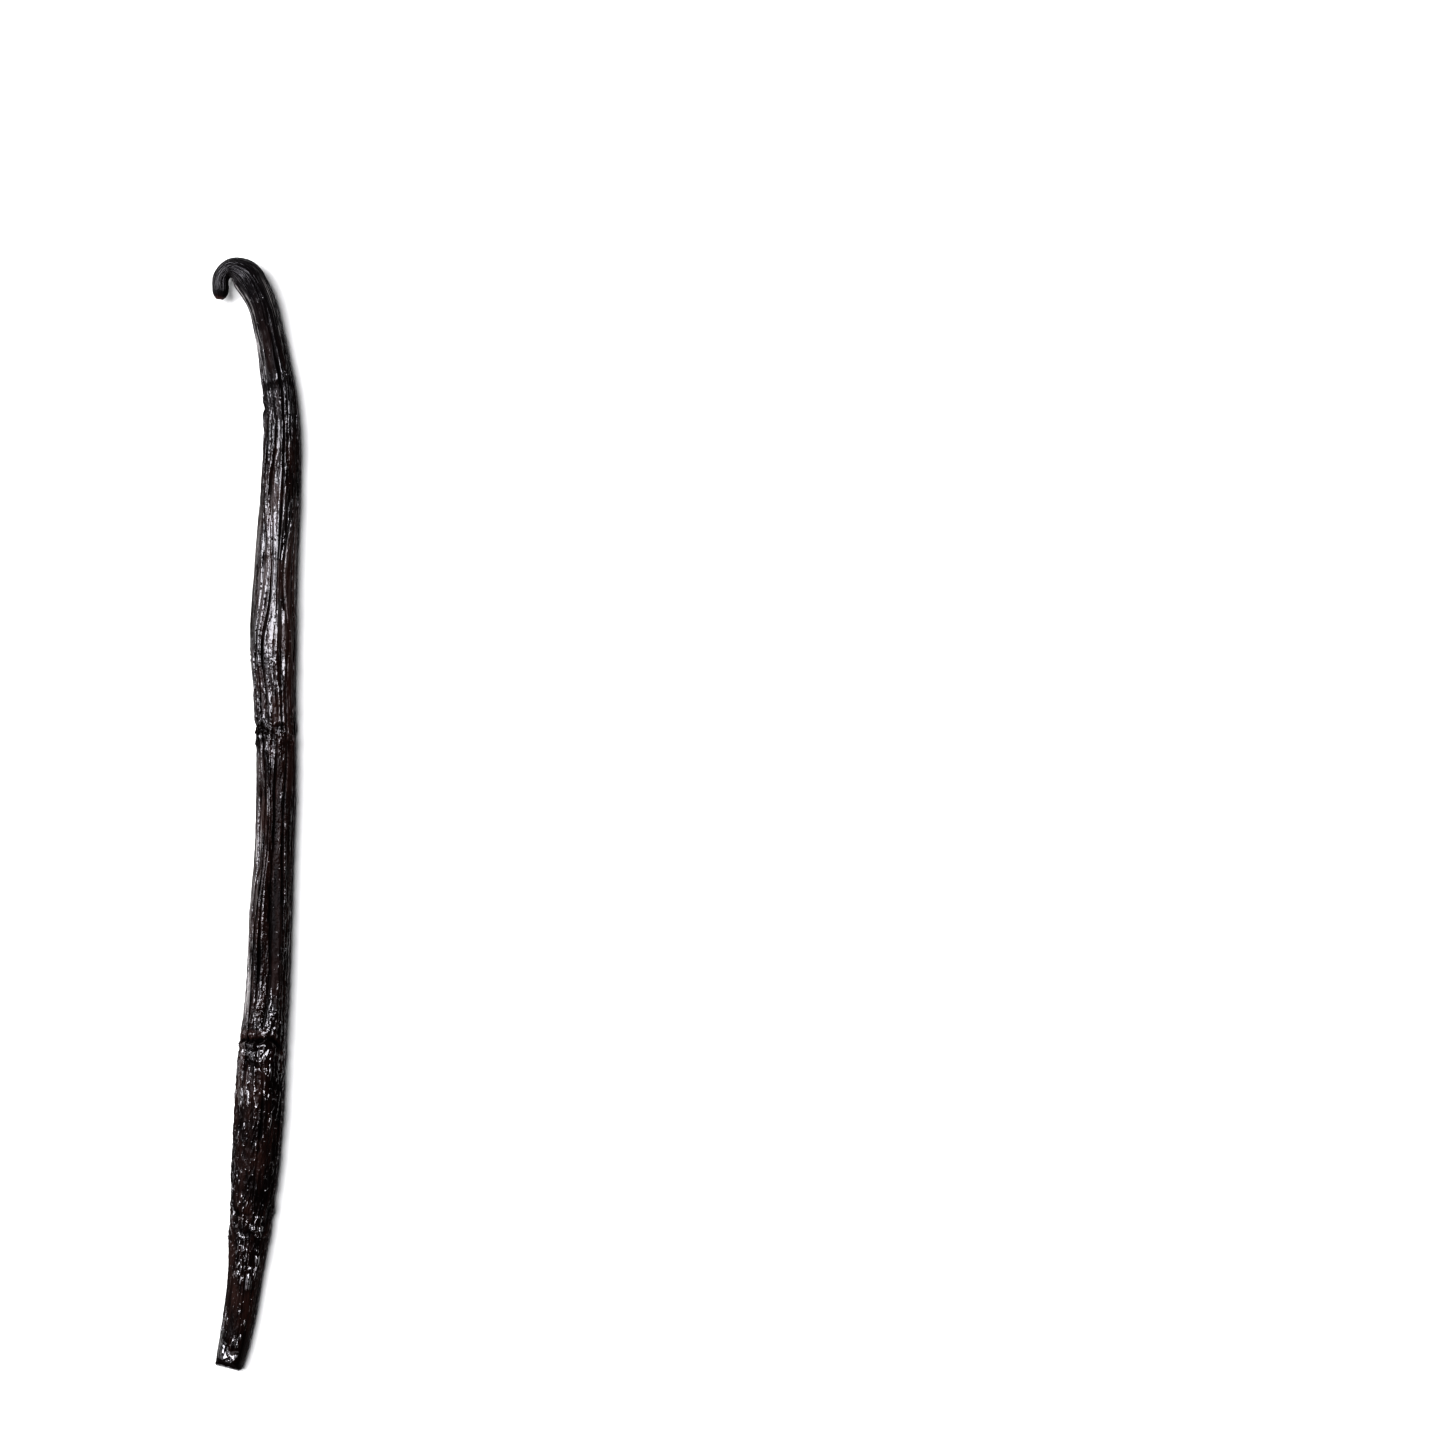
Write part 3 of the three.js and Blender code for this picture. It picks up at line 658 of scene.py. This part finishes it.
# small helpers that keep the node trees short
class Tree:
    def __init__(self, tree):
        self.tree = tree

    def add(self, kind, inputs=None, **settings):
        node = self.tree.nodes.new(kind)
        for name, value in settings.items():
            setattr(node, name, value)
        for name, value in (inputs or {}).items():
            self.feed(node, name, value)
        return node

    def feed(self, node, name, value):
        socket = node.inputs[name]
        if isinstance(value, bpy.types.NodeSocket):
            self.tree.links.new(value, socket)
        else:
            socket.default_value = value

    def math(self, operation, a, b=0.0, clamp=False):
        return self.add("ShaderNodeMath", {0: a, 1: b}, operation=operation, use_clamp=clamp).outputs[0]

    def vector(self, operation, a, b):
        return self.add("ShaderNodeVectorMath", {0: a, 1: b}, operation=operation).outputs["Vector"]

    def scaled(self, vector, amount):
        inputs = {0: vector, "Scale": amount}
        return self.add("ShaderNodeVectorMath", inputs, operation="SCALE").outputs["Vector"]

    def mapped(self, value, low, high, start=0.0, end=1.0, curve="LINEAR"):
        inputs = {"Value": value, "From Min": low, "From Max": high, "To Min": start, "To Max": end}
        return self.add("ShaderNodeMapRange", inputs, interpolation_type=curve).outputs["Result"]

    def blend(self, share, first, second):  # of two colours, each fixed or from a socket
        inputs = {"Factor": share, 6: first, 7: second}
        return self.add("ShaderNodeMix", inputs, data_type="RGBA").outputs[2]


skinRelief = {
    "Sway": 1.4 * mm,
    "Sway Length": 14.0 * mm,
    "Cord Pitch": 1.5 * mm,
    "Cord Length": 15.0 * mm,
    "Cord Depth": 0.11 * mm,
    "Strand Pitch": 0.45 * mm,
    "Strand Length": 5.0 * mm,
    "Strand Depth": 0.055 * mm,
    "Crinkle Pitch": 0.55 * mm,
    "Crinkle Length": 1.1 * mm,
    "Crinkle Depth": 0.1 * mm,
    "Fold Pitch": 0.9 * mm,
    "Fold Length": 2.6 * mm,
    "Fold Turn": 4.5 * mm,      # how far the folds are swept aside
    "Fold Turn Length": 5.0 * mm,
    "Fold Depth": 0.2 * mm,
    "Seed": 3,
}

reliefPattern = {
    # which noise it draws from, how steep its sides are, the height that lies level with the skin
    "cord": (0.0, 15.0, 0.6),
    "strand": (4.0, 9.0, 0.6),
    "fold": (13.0, 12.0, 0.3),
    "swayNoise": 9.0,
    "foldTurnNoise": 21.0,
    "seedStep": 7.31,
    "noiseDetail": 1.0,
    "noiseRoughness": 0.4,
    "warp": 1.6,            # how far the crinkles' cells are pulled out of shape
    "warpScale": 0.8,
    "pillowReach": 0.35,    # how far from its edge a crinkle reaches its full height
    "pillowLevel": 0.7,
}


def skinReliefTree(s):
    group = bpy.data.node_groups.new("skinRelief", "GeometryNodeTree")
    face = group.interface
    face.new_socket("Geometry", in_out="INPUT", socket_type="NodeSocketGeometry")
    for name in skinRelief:
        kind = "NodeSocketInt" if name == "Seed" else "NodeSocketFloat"
        face.new_socket(name, in_out="INPUT", socket_type=kind)
    face.new_socket("Skin", in_out="INPUT", socket_type="NodeSocketMaterial")
    face.new_socket("Geometry", in_out="OUTPUT", socket_type="NodeSocketGeometry")
    t = Tree(group)
    given = t.add("NodeGroupInput").outputs

    def named(name, kind="FLOAT"):
        node = t.add("GeometryNodeInputNamedAttribute", {"Name": name}, data_type=kind)
        return node.outputs["Attribute"]

    straight = named("straight", "FLOAT_VECTOR")
    seed = t.math("MULTIPLY", given["Seed"], s["seedStep"])
    half = (0.5, 0.5, 0.5)  # the mean of a noise's colour

    def size(pitch, length):
        inputs = {"X": given[pitch], "Y": given[length], "Z": given[pitch]}
        return t.add("ShaderNodeCombineXYZ", inputs).outputs[0]

    def cells(vector, size, shift):  # noise that is stretched along the pod
        inputs = {"Vector": t.vector("DIVIDE", vector, size), "W": t.math("ADD", seed, shift),
                  "Scale": 1.0, "Detail": s["noiseDetail"], "Roughness": s["noiseRoughness"]}
        return t.add("ShaderNodeTexNoise", inputs, noise_dimensions="4D").outputs

    def ridges(vector, size, shift, steep):  # soft ridges with a net of sharp grooves between them
        away = t.math("ABSOLUTE", t.math("SUBTRACT", cells(vector, size, shift)["Fac"], 0.5))
        slope = t.math("MULTIPLY", away, steep, clamp=True)
        return t.math("SINE", t.math("MULTIPLY", slope, math.pi / 2))

    def swept(amount, length, shift):  # the straightened pod, drawn aside by slow noise
        sway = t.vector("SUBTRACT", cells(straight, size(length, length), shift)["Color"], half)
        return t.vector("ADD", straight, t.scaled(sway, given[amount]))

    def rising(height, level, share, depth):
        shared = t.math("MULTIPLY", t.math("SUBTRACT", height, level), share)
        return t.math("MULTIPLY", shared, given[depth])

    swayed = swept("Sway", "Sway Length", s["swayNoise"])
    turned = swept("Fold Turn", "Fold Turn Length", s["foldTurnNoise"])
    cord = ridges(swayed, size("Cord Pitch", "Cord Length"), *s["cord"][:2])
    strand = ridges(swayed, size("Strand Pitch", "Strand Length"), *s["strand"][:2])
    fold = ridges(turned, size("Fold Pitch", "Fold Length"), *s["fold"][:2])

    # crinkles: small pillows with sharp creases between them
    base = t.vector("DIVIDE", swayed, size("Crinkle Pitch", "Crinkle Length"))
    inputs = {"Vector": base, "W": seed, "Scale": s["warpScale"], "Detail": s["noiseDetail"]}
    warp = t.add("ShaderNodeTexNoise", inputs, noise_dimensions="4D").outputs["Color"]
    bent = t.vector("ADD", base, t.scaled(t.vector("SUBTRACT", warp, half), s["warp"]))
    edge = t.add("ShaderNodeTexVoronoi", {"Vector": bent, "W": seed, "Scale": 1.0},
                 feature="DISTANCE_TO_EDGE", voronoi_dimensions="4D").outputs["Distance"]
    pillow = t.mapped(edge, 0.0, s["pillowReach"], curve="SMOOTHSTEP")

    rise = t.math("ADD", rising(cord, s["cord"][2], named("rough"), "Cord Depth"),
                  rising(strand, s["strand"][2], named("strand"), "Strand Depth"))
    rise = t.math("ADD", rise, rising(pillow, s["pillowLevel"], named("crinkle"), "Crinkle Depth"))
    raised = t.math("SUBTRACT", 1.0, fold)
    rise = t.math("ADD", rise, rising(raised, s["fold"][2], named("fold"), "Fold Depth"))
    outwards = t.scaled(t.add("GeometryNodeInputNormal").outputs[0], rise)
    moved = t.vector("ADD", t.add("GeometryNodeInputPosition").outputs[0], outwards)
    axes = t.add("ShaderNodeSeparateXYZ", {0: moved}).outputs
    inputs = {"X": axes["X"], "Y": axes["Y"], "Z": t.math("MAXIMUM", axes["Z"], 0.0)}
    grounded = t.add("ShaderNodeCombineXYZ", inputs).outputs[0]
    inputs = {"Geometry": given["Geometry"], "Position": grounded}
    shaped = t.add("GeometryNodeSetPosition", inputs).outputs[0]
    total = t.math("ADD", named("furrow"), t.math("MULTIPLY", rise, 1 / mm))
    inputs = {"Geometry": shaped, "Name": "relief", "Value": total}
    stored = t.add("GeometryNodeStoreNamedAttribute", inputs, data_type="FLOAT", domain="POINT")
    real = t.add("GeometryNodeRealizeInstances", {"Geometry": stored.outputs[0]}).outputs[0]
    dressed = t.add("GeometryNodeSetMaterial", {"Geometry": real, "Material": given["Skin"]}).outputs[0]
    t.add("NodeGroupOutput", {"Geometry": dressed})
    return group


skinFinish = {
    # colours
    # painted shade: the near-black that the bottoms of furrows, creases and grooves are darkened to
    "furrow": (0.0015, 0.0008, 0.0008, 1),
    "black": (0.0040, 0.0021, 0.0018, 1),
    "brown": (0.021, 0.0101, 0.0078, 1),
    "ash": (0.009, 0.0081, 0.0086, 1),
    # painted sheen: a pale colour for the flanks that catch the light
    "paleSheen": (0.27, 0.26, 0.245, 1),
    "scar": (0.06, 0.02, 0.014, 1),
    # where brown shows: sizes are across, along and deep, in millimetres, as are all depths
    "threadSize": (0.2, 2.2, 0.2),
    "streakSize": (0.7, 4, 0.7),
    "patchSize": (2.5, 7, 2.5),
    "brownRange": (0.98, 1.3),
    "brownGain": 0.5,
    "fibreSize": (0.28, 8, 0.28),     # fibre-like streaks that the painted sheen is laid in
    "fibreRange": (0.48, 0.56),
    "openRelief": (-0.3, -0.02),      # from the painted shade at the bottom of a furrow to open skin
    "filmSize": (0.26, 1.2, 0.26),    # the oily film is broken into spots of this size
    "filmShare": 0.5,
    "wetSize": (3.5, 12, 3.5),        # and into larger wet and dry stretches
    "wetShare": 0.35,
    "noiseRange": (0.25, 0.75),
    "crestRelief": (-0.15, 0.15),     # it gathers on the crests of the wrinkles
    "crestShare": 0.42,
    "filmEdge": (0.47, 0.55),
    "speckSize": (0.6, 0.75, 0.6),    # cells that may hold one pimple
    "speckReach": 0.32,               # how large it is, as a share of the cell
    "speckHeight": 0.07,
    "speckFilm": 2.0,
    # grain, cracks and pits
    "grainSize": (0.34, 0.5, 0.34),
    "crackSize": (0.3, 0.6, 0.3),
    "crackReach": 0.2,
    "crackDepth": 0.04,
    "pitSize": (0.55, 0.8, 0.55),
    "pitRange": (0.05, 0.3),
    "pitDepth": 0.03,
    "etchedGrain": (0.0, 0.1, 0.2, 1.0),  # grain from and to, share of cracks and pits there
    # shader
    "shineRange": (0.1, 1.2),
    "roughness": (0.42, 0.2),         # from dull to shining skin
    "patchRoughness": 0.3,
    "ior": 1.5,
    "specular": 0.02,
    "coatRoughness": 0.09,
    "coatIor": 1.7,
}


def skinMaterial(s):
    material = bpy.data.materials.new("curedSkin")
    material.use_nodes = True
    tree = material.node_tree
    tree.nodes.clear()
    t = Tree(tree)

    def named(name, output="Fac"):
        node = t.add("ShaderNodeAttribute", attribute_name=name, attribute_type="GEOMETRY")
        return node.outputs[output]

    straight = named("straight", "Vector")
    relief = named("relief")

    def sized(size):  # the straightened pod, in units of that many millimetres
        return t.vector("DIVIDE", straight, tuple(v * mm for v in size))

    def noise(size, detail):
        inputs = {"Vector": sized(size), "Scale": 1.0, "Detail": detail}
        return t.add("ShaderNodeTexNoise", inputs).outputs["Fac"]

    def cells(size, **settings):
        return t.add("ShaderNodeTexVoronoi", {"Vector": sized(size), "Scale": 1.0}, **settings).outputs

    # colour: black to brown, ash-grey places, pale streaks of painted sheen on the flanks, painted
    # shade in the furrows, the scar
    streaks = t.math("ADD", t.math("MULTIPLY", noise(s["streakSize"], 3.0), 0.5),
                     t.math("MULTIPLY", noise(s["threadSize"], 2.0), 0.5))
    patches = noise(s["patchSize"], 2.0)
    tint = t.math("MULTIPLY", named("brown"), s["brownGain"])
    brownness = t.math("ADD", t.math("ADD", streaks, patches), tint)
    fibres = t.mapped(noise(s["fibreSize"], 2.0), *s["fibreRange"])
    colour = t.blend(t.mapped(brownness, *s["brownRange"]), s["black"], s["brown"])
    colour = t.blend(named("ash"), colour, s["ash"])
    # painted sheen: pale fibre streaks on the flanks that catch the light
    colour = t.blend(t.math("MULTIPLY", named("paleSheen"), fibres), colour, s["paleSheen"])
    # painted shade: the colour darkens to near-black down in the furrows, creases and grooves
    outsidePaintedShade = t.mapped(relief, *s["openRelief"])
    colour = t.blend(t.math("MAXIMUM", outsidePaintedShade, named("furrowShadeLift")), s["furrow"], colour)
    colour = t.blend(named("scar"), colour, s["scar"])

    # small round pimples in some of the cells
    cell = cells(s["speckSize"])
    draw = t.add("ShaderNodeSeparateXYZ", {0: cell["Color"]}).outputs["X"]
    dome = t.mapped(cell["Distance"], s["speckReach"], 0.0, curve="SMOOTHSTEP")
    speck = t.math("MULTIPLY", dome, t.math("LESS_THAN", draw, named("speck")))

    # the oily film, on top of the thin gloss of the skin
    spots = t.mapped(noise(s["filmSize"], 2.0), *s["noiseRange"], -s["filmShare"], s["filmShare"])
    stretches = t.mapped(noise(s["wetSize"], 2.0), *s["noiseRange"], -s["wetShare"], s["wetShare"])
    crests = t.mapped(relief, *s["crestRelief"], -s["crestShare"], s["crestShare"])
    film = t.math("ADD", t.math("ADD", spots, stretches), crests)
    film = t.mapped(t.math("ADD", film, named("spread")), *s["filmEdge"], curve="SMOOTHSTEP")
    film = t.math("MAXIMUM", film, t.math("MULTIPLY", speck, s["speckFilm"], clamp=True))
    gloss = t.add("ShaderNodeMix", {"Factor": film, "A": named("thin"), "B": 1.0}).outputs["Result"]
    shine = t.math("MULTIPLY", t.math("MULTIPLY", gloss, outsidePaintedShade), named("wet"))

    # grain, cracks, pits and pimples
    grain = t.math("MULTIPLY", noise(s["grainSize"], 1.5), named("grain"))
    crack = cells(s["crackSize"], feature="DISTANCE_TO_EDGE")["Distance"]
    crack = t.math("MULTIPLY", t.math("MINIMUM", crack, s["crackReach"]), s["crackDepth"])
    pit = t.mapped(cells(s["pitSize"])["Distance"], *s["pitRange"], 0.0, s["pitDepth"])
    etched = t.math("MULTIPLY", t.math("ADD", crack, pit), t.mapped(named("grain"), *s["etchedGrain"]))
    height = t.math("ADD", t.math("ADD", grain, etched), t.math("MULTIPLY", speck, s["speckHeight"]))
    bump = t.add("ShaderNodeBump", {"Height": height, "Strength": 1.0, "Distance": mm}).outputs[0]

    dullness = t.math("ADD", shine, t.math("MULTIPLY", patches, s["patchRoughness"]))
    shader = t.add("ShaderNodeBsdfPrincipled", {
        "Base Color": colour,
        "Roughness": t.mapped(dullness, *s["shineRange"], *s["roughness"]),
        "IOR": s["ior"],
        "Specular IOR Level": s["specular"],
        "Coat Weight": shine,
        "Coat Roughness": s["coatRoughness"],
        "Coat IOR": s["coatIor"],
        "Normal": bump,
        "Coat Normal": bump,
    }).outputs[0]
    t.add("ShaderNodeOutputMaterial", {"Surface": shader})
    return material


def makePod(shape):
    base = makePodBase(shape, podMesh)
    holder = bpy.data.objects.new("podHolder", base)
    bpy.context.scene.collection.objects.link(holder)
    tree = skinReliefTree(reliefPattern)
    modifier = holder.modifiers.new("skinRelief", "NODES")
    modifier.node_group = tree
    values = dict(skinRelief, Skin=skinMaterial(skinFinish))
    for item in tree.interface.items_tree:
        if item.in_out == "INPUT" and item.name in values:
            modifier[item.identifier] = values[item.name]
    graph = bpy.context.evaluated_depsgraph_get()
    mesh = bpy.data.meshes.new_from_object(holder.evaluated_get(graph))
    bpy.data.objects.remove(holder)
    piece = bpy.data.objects.new("vanillaPod", mesh)
    bpy.context.scene.collection.objects.link(piece)
    return piece


podPiece = makePod(pod)
print("pod made,", len(podPiece.data.polygons), "faces")
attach(podPiece, "root")
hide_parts("vanilla_pod")

studio = {
    "floorSide": 6.0,
    "floorColour": (0.84, 0.852, 0.807, 1),
    "floorRoughness": 0.9,
    # how far away, degrees from overhead to the right and towards the stalk end, size, radiance
    "lamps": [
        (3.2, (-17, 9), (2.4, 1.5), 13),
        (3.2, (-58, 0), (1.6, 3.5), 2.2),
    ],
    "lampColour": (0.975, 0.96, 1.025),
    # the room: dark overhead, pale round the horizon, brighter on the left
    "worldZenith": (0.025, 0.025, 0.028, 1),
    "worldHorizon": (0.35, 0.35, 0.37, 1),
    "worldRise": (0.02, 0.35),
    "worldSides": (0.2, -0.8, 0.6, 1.0),  # from and to across, strength there
}


def makeFloor(s):
    half = s["floorSide"] / 2
    mesh = bpy.data.meshes.new("floor")
    corners = [(-half, -half, 0), (half, -half, 0), (half, half, 0), (-half, half, 0)]
    mesh.from_pydata(corners, [], [(0, 1, 2, 3)])
    material = bpy.data.materials.new("palePaper")
    material.use_nodes = True
    shader = material.node_tree.nodes["Principled BSDF"]
    shader.inputs["Base Color"].default_value = s["floorColour"]
    shader.inputs["Roughness"].default_value = s["floorRoughness"]
    mesh.materials.append(material)
    floor = bpy.data.objects.new("floor", mesh)
    bpy.context.scene.collection.objects.link(floor)


def softbox(name, distance, tilt, size, radiance, colour):
    # aimed at the middle of the pod, its sides level and square to the picture
    away = Vector((math.tan(math.radians(tilt[0])), math.tan(math.radians(tilt[1])), 1)).normalized()
    side = Vector((0, 1, 0)).cross(away).normalized()
    data = bpy.data.lights.new(name, "AREA")
    data.shape = "RECTANGLE"
    data.size, data.size_y = size
    data.energy = radiance * math.pi * size[0] * size[1]
    data.color = colour
    lamp = bpy.data.objects.new(name, data)
    lamp.matrix_world = Matrix((side, away.cross(side), away)).transposed().to_4x4()
    lamp.location = away * distance
    lamp.visible_camera = False
    bpy.context.scene.collection.objects.link(lamp)


def makeStudio(s):
    makeFloor(s)
    for number, (distance, tilt, size, radiance) in enumerate(s["lamps"]):
        softbox(f"softbox{number}", distance, tilt, size, radiance, s["lampColour"])
    world = bpy.data.worlds.new("studioRoom")
    bpy.context.scene.world = world
    world.use_nodes = True
    world.node_tree.nodes.clear()
    t = Tree(world.node_tree)
    direction = t.add("ShaderNodeTexCoord").outputs["Generated"]
    axes = t.add("ShaderNodeSeparateXYZ", {0: direction}).outputs
    rise = t.mapped(axes["Z"], *s["worldRise"], curve="SMOOTHSTEP")
    colour = t.blend(rise, s["worldHorizon"], s["worldZenith"])
    strength = t.mapped(axes["X"], *s["worldSides"])
    background = t.add("ShaderNodeBackground", {"Color": colour, "Strength": strength}).outputs[0]
    t.add("ShaderNodeOutputWorld", {"Surface": background})


makeStudio(studio)
bpy.context.scene.view_settings.view_transform = "Standard"
bpy.context.scene.view_settings.look = "High Contrast"
print("studio made")
